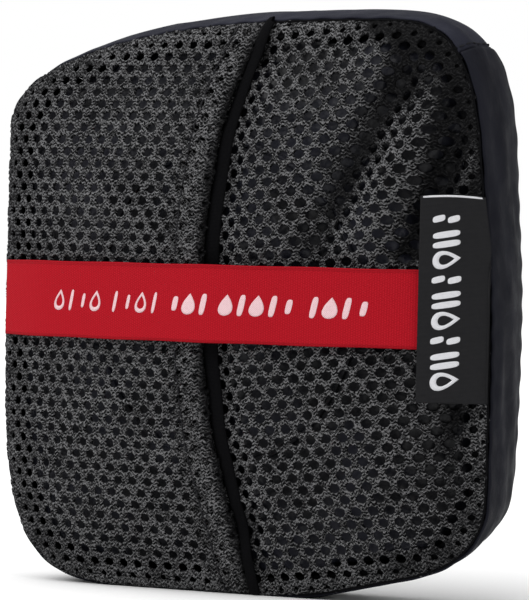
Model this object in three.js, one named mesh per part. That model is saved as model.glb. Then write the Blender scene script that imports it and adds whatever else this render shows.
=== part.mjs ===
// Small pouch with a folded rain cover inside. It stands on its flat bottom and its front faces -Y.
// Units are mm, +Z is up, and the origin is the middle of the flat bottom.
import * as THREE from 'three';

// Outline of the pouch seen from the front: four unequal corners and a shallow dip in the right side.
const HALF_WIDTH = 71.5;
const HEIGHT = 150;
const REST_CUT = 0.5;
const TOP_PEAK_X = 33;
const BOTTOM_PEAK_X = 1;
const LEFT_PEAK_Z = 120;
const RIGHT_PEAK_Z = 30;
const CORNER_TOP_RIGHT = 4.2;
const CORNER_TOP_LEFT = 2.35;
const CORNER_BOTTOM_LEFT = 6.2;
const CORNER_BOTTOM_RIGHT = 2.6;
const CENTRE_Z = 75;
const RIM_SAMPLES = 720;
const SIDE_DIP = 1.7;
const SIDE_DIP_Z = 108;
const SIDE_DIP_SPAN = 24;
const LOW_LIFT = 2.2;
const LOW_LIFT_X = 44;
const LOW_LIFT_SPAN = 18;

// Depth of the pouch.
const GUSSET_DEPTH = 22;
const GUSSET_BULGE = 1.6;
const GUSSET_THICK = 0.8;
const BACK_TAPER = 0.03;
const TAPER_TURN = 0.98;
const TAPER_BASE = 0.25;
const LOW_TUCK = 0.065;
const TUCK_TURN = 0.95;
const TUCK_SPAN = 0.3;
const FRONT_DOME = 18;
const BACK_DOME = 7;
const DOME_POWER = 2.1;
const DOME_ROUND = 0.82;

// Mesh front panels and the slit between them.
const PANEL_THICK = 1.2;
const PANEL_EDGE = 0.983;
const SLIT_MIDDLE = -0.043;
const SLIT_TOP_BEND = 0.175;
const SLIT_TOP_POWER = 4;
const SLIT_LOW_BEND = 0.15;
const SLIT_LOW_POWER = 1.8;
const SLIT_OVERLAP = 0.1;
const SLIT_STEP = 0.95;
const BINDING_WIDTH = 0.045;
const BINDING_THICK = 0.8;
const EDGE_GAP = 0.006;
const HEM_LINE = 0.1;

// Elastic band, label, threads and tapes.
const BAND_WIDTH = 20;
const BAND_THICK = 1.2;
const BAND_OUT = 3.4;
const BAND_OUT_AT_SEAM = 1.6;
const BAND_END_X = 68.7;
const BAND_LEFT_X = -62;
const BAND_RIGHT_X = 53.4;
const BAND_GAP = 0.4;
const LABEL_LEFT_X = 55;
const LABEL_RIGHT_X = 69.6;
const LABEL_HEIGHT = 51.6;
const LABEL_CENTRE_Z = 77.6;
const LABEL_THICK = 0.9;
const LABEL_ABOVE_BAND = 1.4;
const THREAD_R = 0.28;
const TAPE_THICK = 0.8;
const TAPE_DEPTH = 5;
const TAPE_SETBACK = 1.7;
const TAPE_INSET = 1.5;
const JOIN_RIGHT = THREE.MathUtils.degToRad(47);
const JOIN_LEFT = THREE.MathUtils.degToRad(136);
const JOIN_GAP = 0.0065;
const FALL_START = 46;

// Folded rain cover.
const COVER_EDGE = 0.875;
const COVER_RIM_SETBACK = 2;
const COVER_FRONT_GAP = 6;
const COVER_BACK_GAP = 3;
const HEM_CORD_R = 1;
const HEM_CORD_AT = 0.55;

const FULL_TURN = Math.PI * 2;
const HALF_GUSSET = GUSSET_DEPTH / 2;

const mesh = new THREE.MeshStandardMaterial({ color: 0x2e2e32, roughness: 0.9 });
const nylon = new THREE.MeshStandardMaterial({ color: 0x25272f, roughness: 0.6 });
const tape = new THREE.MeshStandardMaterial({ color: 0x151518, roughness: 0.85 });
const elastic = new THREE.MeshStandardMaterial({ color: 0xb11f2b, roughness: 0.8 });
const woven = new THREE.MeshStandardMaterial({ color: 0x232326, roughness: 0.8 });
const thread = new THREE.MeshStandardMaterial({ color: 0x1c1c20, roughness: 0.7 });
const coated = new THREE.MeshStandardMaterial({ color: 0x1b2030, roughness: 0.45 });

// One point of the outline; each quadrant is a quarter of a superellipse.
function outlinePoint(turn) {
  const c = Math.cos(turn);
  const s = Math.sin(turn);
  const right = c >= 0;
  const top = s >= 0;
  const topCorner = right ? CORNER_TOP_RIGHT : CORNER_TOP_LEFT;
  const bottomCorner = right ? CORNER_BOTTOM_RIGHT : CORNER_BOTTOM_LEFT;
  const n = top ? topCorner : bottomCorner;
  const size = (Math.abs(c) ** n + Math.abs(s) ** n) ** (1 / n);
  const peakX = top ? TOP_PEAK_X : BOTTOM_PEAK_X;
  const peakZ = right ? RIGHT_PEAK_Z : LEFT_PEAK_Z;
  const endX = right ? HALF_WIDTH : -HALF_WIDTH;
  const endZ = top ? HEIGHT : -REST_CUT;
  const z = peakZ + (endZ - peakZ) * Math.abs(s) / size;
  const dip = right && top ? SIDE_DIP * Math.exp(-(((z - SIDE_DIP_Z) / SIDE_DIP_SPAN) ** 2)) : 0;
  const x = peakX + (endX - peakX) * Math.abs(c) / size - dip * Math.abs(c) / size;
  const lift = right && !top ? LOW_LIFT * Math.exp(-(((x - LOW_LIFT_X) / LOW_LIFT_SPAN) ** 2)) : 0;
  return { x, z: z + lift * Math.abs(s) / size };
}

// The outline as radius against direction about its centre.
const rimTable = Array.from({ length: RIM_SAMPLES }, (_, i) => {
  const p = outlinePoint((i / RIM_SAMPLES) * FULL_TURN);
  const angle = Math.atan2(p.z - CENTRE_Z, p.x);
  return { angle: (angle + FULL_TURN) % FULL_TURN, radius: Math.hypot(p.x, p.z - CENTRE_Z) };
}).sort((a, b) => a.angle - b.angle);

function rimRadius(direction) {
  const angle = ((direction % FULL_TURN) + FULL_TURN) % FULL_TURN;
  let high = rimTable.findIndex((entry) => entry.angle > angle);
  if (high < 0) high = 0;
  const b = rimTable[high];
  const a = rimTable[(high + RIM_SAMPLES - 1) % RIM_SAMPLES];
  const span = (b.angle - a.angle + FULL_TURN) % FULL_TURN;
  const part = ((angle - a.angle + FULL_TURN) % FULL_TURN) / span;
  return a.radius + (b.radius - a.radius) * part;
}

// A point at a direction, a share of the outline's radius and a depth, never below the floor.
function polarPoint(direction, share, y, grow = 0) {
  const radius = rimRadius(direction) * share + grow;
  const z = CENTRE_Z + radius * Math.sin(direction);
  return new THREE.Vector3(radius * Math.cos(direction), y, Math.max(z, 0));
}

// The gusset's outer face. depth runs from -1 at the front seam to 1 at the back seam. The back narrows
// down the right side, and its lower right corner is tucked in.
function gussetPoint(direction, depth) {
  const backness = (depth + 1) / 2;
  const side = Math.max(0, Math.cos(direction + TAPER_TURN)) + TAPER_BASE;
  const taper = BACK_TAPER * side * Math.max(0, 1 - Math.max(0, -Math.sin(direction)) ** 4);
  const tuck = Math.exp((Math.cos(direction + TUCK_TURN) - 1) * 2 / TUCK_SPAN ** 2);
  const share = 1 - backness * (taper + LOW_TUCK * tuck);
  return polarPoint(direction, share, depth * HALF_GUSSET, GUSSET_BULGE * (1 - tuck) * (1 - depth * depth));
}

// A square of u, v from -1 to 1 laid smoothly onto the unit disc.
function discPoint(u, v) {
  const x = u * Math.sqrt(1 - v * v / 2);
  const z = v * Math.sqrt(1 - u * u / 2);
  return { share: Math.min(Math.hypot(x, z), 1), direction: Math.atan2(z, x) };
}

function domeHeight(share) {
  return (1 - share ** DOME_POWER) ** DOME_ROUND;
}

function frontPoint(u, v) {
  const disc = discPoint(u, v);
  const share = disc.share * PANEL_EDGE;
  return polarPoint(disc.direction, share, -HALF_GUSSET - FRONT_DOME * domeHeight(share));
}

function backPoint(u, v) {
  const disc = discPoint(u, v);
  const share = disc.share * PANEL_EDGE;
  const rim = gussetPoint(disc.direction, 1);
  const x = rim.x * share;
  const z = CENTRE_Z + (rim.z - CENTRE_Z) * share;
  return new THREE.Vector3(x, HALF_GUSSET + BACK_DOME * domeHeight(share), z);
}

function slitCentre(v) {
  const bend = v > 0 ? SLIT_TOP_BEND * v ** SLIT_TOP_POWER : SLIT_LOW_BEND * (-v) ** SLIT_LOW_POWER;
  return SLIT_MIDDLE + bend;
}

// Outward unit normal of a surface, from two short steps across it.
function normalOf(surface, u, v) {
  const step = 1e-3;
  const du = surface(u + step, v).sub(surface(u - step, v));
  const dv = surface(u, v + step).sub(surface(u, v - step));
  return du.cross(dv).normalize();
}

// The same surface moved outward by a distance that may vary across it.
function offsetSurface(surface, distance) {
  return (u, v) => {
    const inU = THREE.MathUtils.clamp(u, -0.995, 0.995);
    const inV = THREE.MathUtils.clamp(v, -0.995, 0.995);
    return surface(u, v).addScaledVector(normalOf(surface, inU, inV), distance(u, v));
  };
}

// A closed sheet: its outer face is the surface, and its inner face lies thick below it.
function sheetGeometry(surface, thick, nu, nv, area) {
  const geometry = new THREE.BoxGeometry(2, 2, 1, nu, nv, 1);
  const position = geometry.attributes.position;
  for (let i = 0; i < position.count; i += 1) {
    const { u, v } = area(position.getX(i), position.getY(i));
    const inner = position.getZ(i) < 0 ? -thick : 0;
    const p = offsetSurface(surface, () => inner)(u, v);
    p.z = Math.max(p.z, 0);
    position.setXYZ(i, p.x, p.y, p.z);
  }
  geometry.computeVertexNormals();
  return geometry;
}

const group = new THREE.Group();
group.name = 'packed_rain_cover';

function add(name, geometry, material) {
  const piece = new THREE.Mesh(geometry, material);
  piece.name = name;
  group.add(piece);
}

function addTube(name, points, radius, segments, closed) {
  const curve = new THREE.CatmullRomCurve3(points, closed);
  if (closed) {
    add(name, new THREE.TubeGeometry(curve, segments, radius, 4, true), thread);
    return;
  }
  const section = new THREE.Shape();
  section.absarc(0, 0, radius, 0, FULL_TURN, false);
  const options = { steps: segments, extrudePath: curve, curveSegments: 4, bevelEnabled: false };
  add(name, new THREE.ExtrudeGeometry(section, options), thread);
}

// Front panels. The left one lies over the right one along the slit.
const leftLift = (u, v) => SLIT_STEP * THREE.MathUtils.smoothstep(u - slitCentre(v), -0.5, -0.18);
const rightDrop = (u, v) => -SLIT_STEP * (1 - THREE.MathUtils.smoothstep(u - slitCentre(v), 0.08, 0.4));
const leftSurface = offsetSurface(frontPoint, leftLift);
const rightSurface = offsetSurface(frontPoint, rightDrop);

function between(start, end) {
  return (a, b) => {
    const low = start(b);
    const high = end(b);
    return { u: low + (high - low) * (a + 1) / 2, v: b };
  };
}

const leftArea = between(() => -1, slitCentre);
const rightEdge = (v) => slitCentre(v) - SLIT_OVERLAP;
const rightArea = between(rightEdge, () => 1);
add('front_panel_left', sheetGeometry(leftSurface, PANEL_THICK, 10, 18, leftArea), mesh);
add('front_panel_right', sheetGeometry(rightSurface, PANEL_THICK, 10, 18, rightArea), mesh);

// Bound edges of the slit.
const leftBound = between((v) => slitCentre(v) + EDGE_GAP, (v) => slitCentre(v) + EDGE_GAP + BINDING_WIDTH);
const rightBound = between((v) => rightEdge(v) - EDGE_GAP - BINDING_WIDTH, (v) => rightEdge(v) - EDGE_GAP);
add('slit_binding_left', sheetGeometry(leftSurface, BINDING_THICK, 1, 18, leftBound), tape);
add('slit_binding_right', sheetGeometry(rightSurface, BINDING_THICK, 1, 18, rightBound), tape);

// Hem threads beside the slit: one on the outside, one on the inside.
function hemPoints(surface, shift, out) {
  const raised = offsetSurface(surface, () => out);
  return Array.from({ length: 19 }, (_, i) => {
    const v = (i / 9 - 1) * 0.96;
    return raised(slitCentre(v) + shift, v);
  });
}
addTube('slit_hem_thread_left', hemPoints(leftSurface, -HEM_LINE, 0.6), THREAD_R, 24, false);
addTube('slit_hem_thread_right', hemPoints(rightSurface, 0.03, -PANEL_THICK - 0.6), THREAD_R, 24, false);

// Gusset: a strip over the top, and one down both sides and under the bottom.
const wholeArea = (a, b) => ({ u: a, v: b });
const gussetStrip = (from, to) => (a, b) => gussetPoint(from + (to - from) * (a + 1) / 2, -b);
const topStrip = gussetStrip(JOIN_RIGHT + JOIN_GAP, JOIN_LEFT - JOIN_GAP);
const sideStrip = gussetStrip(JOIN_LEFT + JOIN_GAP, JOIN_RIGHT + FULL_TURN - JOIN_GAP);
add('gusset_top', sheetGeometry(topStrip, GUSSET_THICK, 26, 4, wholeArea), nylon);
add('gusset_sides', sheetGeometry(sideStrip, GUSSET_THICK, 64, 4, wholeArea), nylon);

// Threads along the two cross seams of the gusset.
function joinPoints(direction) {
  return Array.from({ length: 7 }, (_, i) => gussetPoint(direction, (i / 6 - 0.5) * 1.9));
}
addTube('gusset_join_thread_right', joinPoints(JOIN_RIGHT), THREAD_R, 6, false);
addTube('gusset_join_thread_left', joinPoints(JOIN_LEFT), THREAD_R, 6, false);

// Back panel: the same sheet seen from behind, so u is mirrored to keep its face outward.
add('back_panel', sheetGeometry((u, v) => backPoint(-u, v), PANEL_THICK, 16, 16, wholeArea), nylon);

// Seam threads in the grooves where the panels meet the gusset.
function ringPoints(depth, shrink, y) {
  return Array.from({ length: 72 }, (_, i) => {
    const p = gussetPoint((i / 72) * FULL_TURN, depth);
    const flat = new THREE.Vector3(p.x, 0, p.z - CENTRE_Z);
    flat.setLength(flat.length() - shrink);
    return new THREE.Vector3(flat.x, y, flat.z + CENTRE_Z);
  });
}
addTube('front_seam_thread', ringPoints(-1, 0.5, -HALF_GUSSET - 0.55), THREAD_R, 72, true);
addTube('back_seam_thread', ringPoints(1, 0.5, HALF_GUSSET + 0.55), THREAD_R, 72, true);

// Binding tapes that cover the seam allowances on the inside.
function tapeGeometry(side) {
  const geometry = new THREE.BoxGeometry(2, 2, 1, 72, 1, 1);
  const position = geometry.attributes.position;
  for (let i = 0; i < position.count; i += 1) {
    const direction = Math.PI * position.getX(i) * 0.999;
    const fromSeam = TAPE_SETBACK + (1 - position.getY(i)) * TAPE_DEPTH / 2;
    const depth = side * (1 - fromSeam / HALF_GUSSET);
    const inner = position.getZ(i) * side > 0 ? TAPE_INSET + TAPE_THICK : TAPE_INSET;
    const p = gussetPoint(direction, depth);
    const flat = new THREE.Vector3(p.x, 0, p.z - CENTRE_Z);
    flat.setLength(flat.length() - inner);
    position.setXYZ(i, flat.x, p.y, flat.z + CENTRE_Z);
  }
  geometry.computeVertexNormals();
  return geometry;
}
add('front_seam_tape', tapeGeometry(-1), tape);
add('back_seam_tape', tapeGeometry(1), tape);

// Elastic band across the front: sewn ends and the free span that can be pulled away.
const rimX = HALF_WIDTH * PANEL_EDGE;
function acrossPoint(x, z) {
  const share = Math.min(Math.abs(x) / rimX, 1) * PANEL_EDGE;
  return new THREE.Vector3(x, -HALF_GUSSET - FRONT_DOME * domeHeight(share), z);
}
function bandOut(x) {
  const fall = THREE.MathUtils.smoothstep(Math.abs(x), FALL_START, BAND_END_X);
  return THREE.MathUtils.lerp(BAND_OUT, BAND_OUT_AT_SEAM, fall);
}
function frontStrip(fromX, toX, centreZ, width, above, thick, count) {
  const xAt = (a) => fromX + (toX - fromX) * (a + 1) / 2;
  const flat = (a, b) => acrossPoint(xAt(a), centreZ + width / 2 * b);
  return sheetGeometry(offsetSurface(flat, (a) => bandOut(xAt(a)) + above), thick, count, 1, wholeArea);
}
const bandStrip = (from, to, count) => frontStrip(from, to, CENTRE_Z, BAND_WIDTH, 0, BAND_THICK, count);
const bandEndLeft = bandStrip(-BAND_END_X, BAND_LEFT_X - BAND_GAP, 4);
const bandEndRight = bandStrip(BAND_RIGHT_X + BAND_GAP, BAND_END_X, 6);
const bandSpan = bandStrip(BAND_LEFT_X, BAND_RIGHT_X, 24);
add('band_end_left', bandEndLeft, elastic);
add('band_end_right', bandEndRight, elastic);
add('closure_band', bandSpan, elastic);

// Folded woven label over the band's right end, sewn along its right edge.
add('label', frontStrip(LABEL_LEFT_X, LABEL_RIGHT_X, LABEL_CENTRE_Z, LABEL_HEIGHT,
  LABEL_ABOVE_BAND, LABEL_THICK, 10), woven);

// Rain cover folded into a bundle that fills the pouch.
function coverFace(u, v, rimY, dome) {
  const disc = discPoint(u, v);
  return polarPoint(disc.direction, disc.share * COVER_EDGE, rimY + dome * domeHeight(disc.share));
}
const coverRimY = HALF_GUSSET - COVER_RIM_SETBACK;
const coverFront = (u, v) => coverFace(u, v, -coverRimY, COVER_FRONT_GAP - FRONT_DOME);
const coverBack = (u, v) => coverFace(u, v, coverRimY, BACK_DOME - COVER_BACK_GAP);
function coverGeometry() {
  const geometry = new THREE.BoxGeometry(2, 2, 2, 12, 12, 2);
  const position = geometry.attributes.position;
  for (let i = 0; i < position.count; i += 1) {
    const u = position.getX(i);
    const v = position.getY(i);
    const front = coverFront(u, v);
    const back = coverBack(u, v);
    const p = back.lerp(front, (position.getZ(i) + 1) / 2);
    position.setXYZ(i, p.x, p.y, p.z);
  }
  geometry.computeVertexNormals();
  return geometry;
}
add('rain_cover', coverGeometry(), coated);

// The cover's gathered elastic hem, lying folded on the bundle.
const hemSurface = offsetSurface(coverFront, () => HEM_CORD_R + 0.4);
const hemLoop = Array.from({ length: 24 }, (_, i) => {
  const turn = (i / 24) * FULL_TURN;
  return hemSurface(HEM_CORD_AT * Math.cos(turn), HEM_CORD_AT * Math.sin(turn));
});
const hemCurve = new THREE.CatmullRomCurve3(hemLoop, true);
add('cover_hem_elastic', new THREE.TubeGeometry(hemCurve, 48, HEM_CORD_R, 6, true), elastic);

export default group;
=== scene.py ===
"""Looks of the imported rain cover: mesh front, nylon gusset and back, red elastic band, woven label."""

import math

import bmesh
import bpy
import numpy as np
from mathutils import Matrix, Vector


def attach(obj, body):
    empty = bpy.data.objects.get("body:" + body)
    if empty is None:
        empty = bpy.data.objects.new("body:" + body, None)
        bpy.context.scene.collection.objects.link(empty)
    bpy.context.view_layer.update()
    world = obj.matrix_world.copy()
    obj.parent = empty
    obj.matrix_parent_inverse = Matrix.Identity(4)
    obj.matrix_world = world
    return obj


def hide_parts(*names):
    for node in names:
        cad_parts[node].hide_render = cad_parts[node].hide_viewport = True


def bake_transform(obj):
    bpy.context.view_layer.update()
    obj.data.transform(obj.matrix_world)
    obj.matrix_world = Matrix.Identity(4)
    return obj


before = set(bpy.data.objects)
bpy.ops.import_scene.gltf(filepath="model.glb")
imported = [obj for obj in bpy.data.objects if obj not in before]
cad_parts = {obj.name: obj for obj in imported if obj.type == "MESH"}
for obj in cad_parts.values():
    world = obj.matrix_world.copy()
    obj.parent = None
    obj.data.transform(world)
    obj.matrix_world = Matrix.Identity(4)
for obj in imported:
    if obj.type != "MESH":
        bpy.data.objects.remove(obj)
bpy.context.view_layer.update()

MM = 0.001

# Shape of the pouch in mm, the same numbers as the CAD part. NET_EDGE and TOP_DRAW are of the looks only.
HALF_W, HEIGHT, REST_CUT = 71.5, 150.0, 0.5
TOP_X, BOTTOM_X, LEFT_Z, RIGHT_Z, MID_Z = 33.0, 1.0, 120.0, 30.0, 75.0
CORNERS = {"tr": 4.2, "tl": 2.35, "bl": 6.2, "br": 2.6}
HALF_G, BULGE = 11.0, 1.6
MEAN_R = 74  # turns an angle round the gusset into a length of its cloth
BACK_TAPER, TAPER_TURN, TAPER_BASE = 0.03, 0.98, 0.25
FRONT_DOME, BACK_DOME, DOME_P, DOME_Q = 18.0, 7.0, 2.1, 0.82
EDGE, NET_EDGE, TOP_DRAW = 0.983, 0.991, 0.016
DIP, DIP_Z, DIP_SPAN = 1.7, 108.0, 24.0
LIFT, LIFT_X, LIFT_SPAN = 2.2, 44.0, 18.0
LOW_TUCK, TUCK_TURN, TUCK_SPAN = 0.065, 0.95, 0.3
SLIT_MIDDLE, SLIT_TOP, SLIT_LOW = -0.043, (0.175, 4), (0.15, 1.8)
OVERLAP = 8.0
JOINS = (math.radians(47), math.radians(136))

ROOT, BAND, FLAP = "pouch", "band_span", "label_flap"


# ---------------------------------------------------------------- shape functions
def rim_table():
    t = np.linspace(0, 2 * np.pi, 1440, endpoint=False)
    c, s = np.cos(t), np.sin(t)
    right, top = c >= 0, s >= 0
    upper, lower = (np.where(right, CORNERS[row + "r"], CORNERS[row + "l"]) for row in "tb")
    n = np.where(top, upper, lower)
    size = (np.abs(c) ** n + np.abs(s) ** n) ** (1 / n)
    px, pz = np.where(top, TOP_X, BOTTOM_X), np.where(right, RIGHT_Z, LEFT_Z)
    x = px + (np.where(right, HALF_W, -HALF_W) - px) * np.abs(c) / size
    z = pz + (np.where(top, HEIGHT, -REST_CUT) - pz) * np.abs(s) / size
    x = x - np.where(right & top, DIP * np.exp(-((z - DIP_Z) / DIP_SPAN) ** 2), 0) * np.abs(c) / size
    z = z + np.where(right & ~top, LIFT * np.exp(-((x - LIFT_X) / LIFT_SPAN) ** 2), 0) * np.abs(s) / size
    angle = np.arctan2(z - MID_Z, x) % (2 * np.pi)
    order = np.argsort(angle)
    return angle[order], np.hypot(x, z - MID_Z)[order]


RIM_A, RIM_R = rim_table()


def rim(direction):
    return np.interp(np.asarray(direction) % (2 * np.pi), RIM_A, RIM_R, period=2 * np.pi)


def front_rim(direction):
    """The front seam, drawn in a little along the top, where the gusset stands above it."""
    return rim(direction) * (1 - TOP_DRAW * smooth(np.sin(direction), 0.45, 0.85))


def share_of(x, z):
    return np.hypot(x, z - MID_Z) / front_rim(np.arctan2(z - MID_Z, x))


def dome(share):
    return np.maximum(1 - np.clip(share, 0, 1) ** DOME_P, 0) ** DOME_Q


def smooth(x, lo, hi):
    t = np.clip((x - lo) / (hi - lo), 0, 1)
    return t * t * (3 - 2 * t)


def waves(x, z, seed, size, count=7):
    """Soft seeded ripples of about one size, from -1 to 1."""
    rng = np.random.RandomState(seed)
    total = np.zeros_like(x)
    for _ in range(count):
        a, k, p = rng.uniform(0, np.pi), 2 * np.pi / (size * rng.uniform(0.7, 1.6)), rng.uniform(0, 6.28)
        total = total + np.sin((x * np.cos(a) + z * np.sin(a)) * k + p)
    return total / math.sqrt(count) / 1.6


def slit_x(z):
    w = np.clip((z - MID_Z) / 75, -1, 1)
    (top_bend, top_power), (low_bend, low_power) = SLIT_TOP, SLIT_LOW
    bend = np.where(w > 0, top_bend * np.abs(w) ** top_power, low_bend * np.abs(w) ** low_power)
    return (SLIT_MIDDLE + bend) * np.sqrt(1 - w * w / 2) * HALF_W * EDGE


def fold(x, z, a, b, depth, width):
    """A soft trough (or ridge, if depth is negative) along the line a to b."""
    (ax, az), (bx, bz) = a, b
    dx, dz = bx - ax, bz - az
    t = np.clip(((x - ax) * dx + (z - az) * dz) / (dx * dx + dz * dz), 0, 1)
    d = np.hypot(x - ax - t * dx, z - az - t * dz)
    return depth * np.exp(-((d / width) ** 2)) * (0.55 + 0.45 * np.sin(np.pi * np.clip(t, 0.08, 0.92)))


def lower_folds(x, z):
    """Slack folds that run up to the right across the lower part of the front."""
    run = (z - 0.75 * x) / 7.5 + 1.3 * waves(x, z, 52, 50)
    return np.abs(np.sin(run)) * smooth(-z, -64, -40) * (0.5 + 0.5 * waves(x, z, 61, 36))


# Folds of the two mesh panels: from, to, depth and width in mm. A negative depth is a ridge.
FOLDS = {
    "left": (((-62, 108), (-38, 112), 1.1, 5), ((-60, 52), (-30, 58), 0.9, 6),
             ((-30, 132), (-44, 118), 0.9, 5)),
    "right": (((65.5, 134), (51, 90), 6.5, 4.8), ((44, 130), (27, 92), 5.2, 6.2),
              ((49, 142), (42, 126), 2.2, 4.5), ((57, 130), (39, 92), -2.4, 4.6),
              ((39, 139), (37, 135), -1.3, 6), ((66, 56), (58, 36), 3.2, 7),
              ((58, 38), (40, 20), 0.9, 4), ((36, 64), (33, 60), -1.2, 6),
              ((30, 25), (27, 22), -0.9, 5)),
}


def relief(x, z, side):
    """How far the cloth front stands in from the plain dome, in mm."""
    share = share_of(x, z)
    free = 1 - smooth(share, 0.86, 1.0)
    s = x - slit_x(z)
    inward = 0.5 * waves(x, z, 3, 38) + 0.22 * waves(x, z, 8, 17) + 1.1 * lower_folds(x, z)
    inward = inward + 0.9 * np.exp(-((z - MID_Z) / 12.5) ** 4)
    if side == "left":
        inward = inward - 0.5 * smooth(s, -9, -6) + 0.4 * np.exp(-((s + 7.0) / 0.8) ** 2)
        inward = inward + 2.6 * smooth(s, -3.6, 0.4) ** 2
    else:
        inward = inward + 3.4 * (1 - smooth(s, 2.0, 11.5))
    for line in FOLDS[side]:
        inward = inward + fold(x, z, *line)
    pucker = 0.2 * np.sin(np.arctan2(z - MID_Z, x) * 46 + 2 * waves(x, z, 5, 40)) * smooth(share, 0.86, 0.97)
    return inward * free + pucker


def painted_light_and_shade(x, z, side):
    """How light the cloth is painted at a point: near 0 deep in a fold, 1 on open cloth, more on a ridge.
    This is painted shade in the folds and painted light on the ridges, carried into the mesh's colour. The
    rim, the hem and the upper right corner are darker by place alone, also painted shade."""
    turns = np.arange(8) * math.pi / 4
    around = sum(relief(x + 6 * math.cos(a), z + 6 * math.sin(a), side) for a in turns) / 8
    hollow = relief(x, z, side) - around
    rim_shade = np.where(x > 0, 0.6, 0.4) * smooth(share_of(x, z), 0.8, 0.97) * smooth(np.abs(x), 25, 55)
    edge = x - slit_x(z)
    hem_shade = 0.3 * smooth(edge, -10, -7) + 0.5 * smooth(edge, -3, 0) if side == "left" else 0.0
    corner_shade = 0.8 * smooth(x + 0.55 * z, 111, 120) * smooth(z, 84, 94) if side == "right" else 0.0
    return np.clip(1.0 - 0.5 * hollow - rim_shade - hem_shade - corner_shade, 0.08, 1.7)


def front_y(x, z, side):
    share = share_of(x, z)
    return -(HALF_G + FRONT_DOME * dome(share)) + relief(x, z, side)


def front_point(x, z, side, height=0.0):
    """Points on the cloth front, moved out along its normal by height.
    x and z past the rim are drawn back to it."""
    x, z = np.asarray(x, float), np.asarray(z, float)
    share = share_of(x, z)
    pull = np.where(share > NET_EDGE, NET_EDGE / np.maximum(share, 1e-6), 1.0)
    x, z = x * pull, MID_Z + (z - MID_Z) * pull
    e = 0.25
    gx = (front_y(x + e, z, side) - front_y(x - e, z, side)) / (2 * e)
    gz = (front_y(x, z + e, side) - front_y(x, z - e, side)) / (2 * e)
    gx, gz = np.clip(gx, -1.5, 1.5), np.clip(gz, -1.5, 1.5)
    n = np.stack([gx, -np.ones_like(gx), gz], -1)
    n /= np.linalg.norm(n, axis=-1, keepdims=True)
    p = np.stack([x, front_y(x, z, side), z], -1) + n * np.asarray(height)[..., None]
    p[..., 2] = np.maximum(p[..., 2], 0.3)
    return p


def back_share(direction, backness):
    """The gusset's share of the outline: it narrows down the right side, and its lower right
    corner is tucked in."""
    side = np.maximum(0, np.cos(direction + TAPER_TURN)) + TAPER_BASE
    low = np.maximum(0, -np.sin(direction))
    return 1 - backness * (BACK_TAPER * side * np.maximum(0, 1 - low ** 4) + LOW_TUCK * tuck(direction))


def tuck(direction):
    return np.exp((np.cos(direction + TUCK_TURN) - 1) * 2 / TUCK_SPAN ** 2)


def gusset_point(direction, depth):
    """The gusset's outer face with its creases. depth is -1 at the front seam and 1 at the back seam."""
    backness = (depth + 1) / 2
    loft = BULGE * (1 - tuck(direction)) + 0.6 * smooth(np.sin(direction), 0.6, 0.9)
    radius = rim(direction) * back_share(direction, backness) + loft * (1 - depth * depth)
    radius = radius - (rim(direction) - front_rim(direction)) * (1 - backness) ** 3
    arc = direction * MEAN_R
    loose = (1 - smooth(np.abs(depth), 0.6, 1.0)) * smooth(np.sin(direction), -0.95, -0.6)
    run = depth * HALF_G + 0.2 * arc + 1.6 * waves(arc, depth * HALF_G, 21, 60, 4)
    long_crease = np.sin(run * 2 * math.pi / 8.5) * (0.5 + 0.5 * waves(arc, depth * 4, 9, 55, 4))
    slant = np.sin((depth * HALF_G - 0.34 * arc) * 2 * math.pi / 13)
    slant = slant * (0.5 + 0.5 * waves(arc, depth * 4, 4, 48, 4))
    bent = (depth * HALF_G - 0.3 * arc) * math.pi / 16 + 0.7 * long_crease
    sharp = 0.16 * (1 - np.abs(np.sin(bent))) ** 6
    soft = 0.15 * waves(arc, depth * 9, 17, 40)
    radius = radius - (0.26 * long_crease + 0.24 * slant - sharp + soft) * loose
    off_floor = smooth(np.sin(direction), -0.93, -0.6)
    pucker = 0.14 * np.sin(direction * 62) * smooth(np.abs(depth), 0.6, 0.95) * off_floor
    corner = 1.6 * np.exp(-((direction - JOINS[0] - 0.12) / 0.16) ** 2)
    corner = corner + 0.5 * np.exp(-((direction - JOINS[1]) / 0.2) ** 2)
    radius = radius - pucker - corner * (0.1 + 0.8 * backness) - 0.9 * join_groove(direction)
    x = radius * np.cos(direction)
    z = MID_Z + radius * np.sin(direction)
    return np.stack([x, depth * HALF_G, np.maximum(z, 0.0)], -1)


def join_groove(direction):
    return sum(np.exp(-((direction - j) / 0.009) ** 2) for j in JOINS)


def back_point(x, z):
    share = share_of(x / 0.975, z)
    y = HALF_G + BACK_DOME * dome(share)
    free = 1 - smooth(share, 0.85, 1)
    y = y - (0.7 * waves(x, z, 31, 42) + 0.3 * waves(x, z, 12, 16)) * free
    y = y - 0.25 * np.sin(np.arctan2(z - MID_Z, x) * 60) * smooth(share, 0.86, 0.97)
    return y


# ---------------------------------------------------------------- mesh helpers
def make(name, verts, faces, material, weave=None, body=ROOT):
    """A mesh object from points in mm; weave is each point's place on its cloth, in mm, and for the mesh
    panels a third column of painted light and shade.
    """
    mesh = bpy.data.meshes.new(name)
    mesh.from_pydata((np.asarray(verts) * MM).tolist(), [], [list(map(int, f)) for f in faces])
    if weave is not None:
        layer = mesh.attributes.new("weave", "FLOAT_VECTOR", "POINT")
        w = np.zeros((len(verts), 3), np.float32)
        w[:, : np.asarray(weave).shape[1]] = weave
        layer.data.foreach_set("vector", w.ravel())
    mesh.validate()
    mesh.shade_smooth()
    piece = bpy.data.objects.new(name, mesh)
    bpy.context.scene.collection.objects.link(piece)
    piece.data.materials.append(material)
    if body:
        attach(piece, body)
    return piece


def grid_faces(nu, nv, start=0, flip=False, wrap=False):
    faces = []
    for i in range(nu if wrap else nu - 1):
        for j in range(nv - 1):
            a, b = i * nv + j, ((i + 1) % nu) * nv + j
            quad = (a, b, b + 1, a + 1)
            faces.append(tuple(start + k for k in (quad[::-1] if flip else quad)))
    return faces


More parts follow.
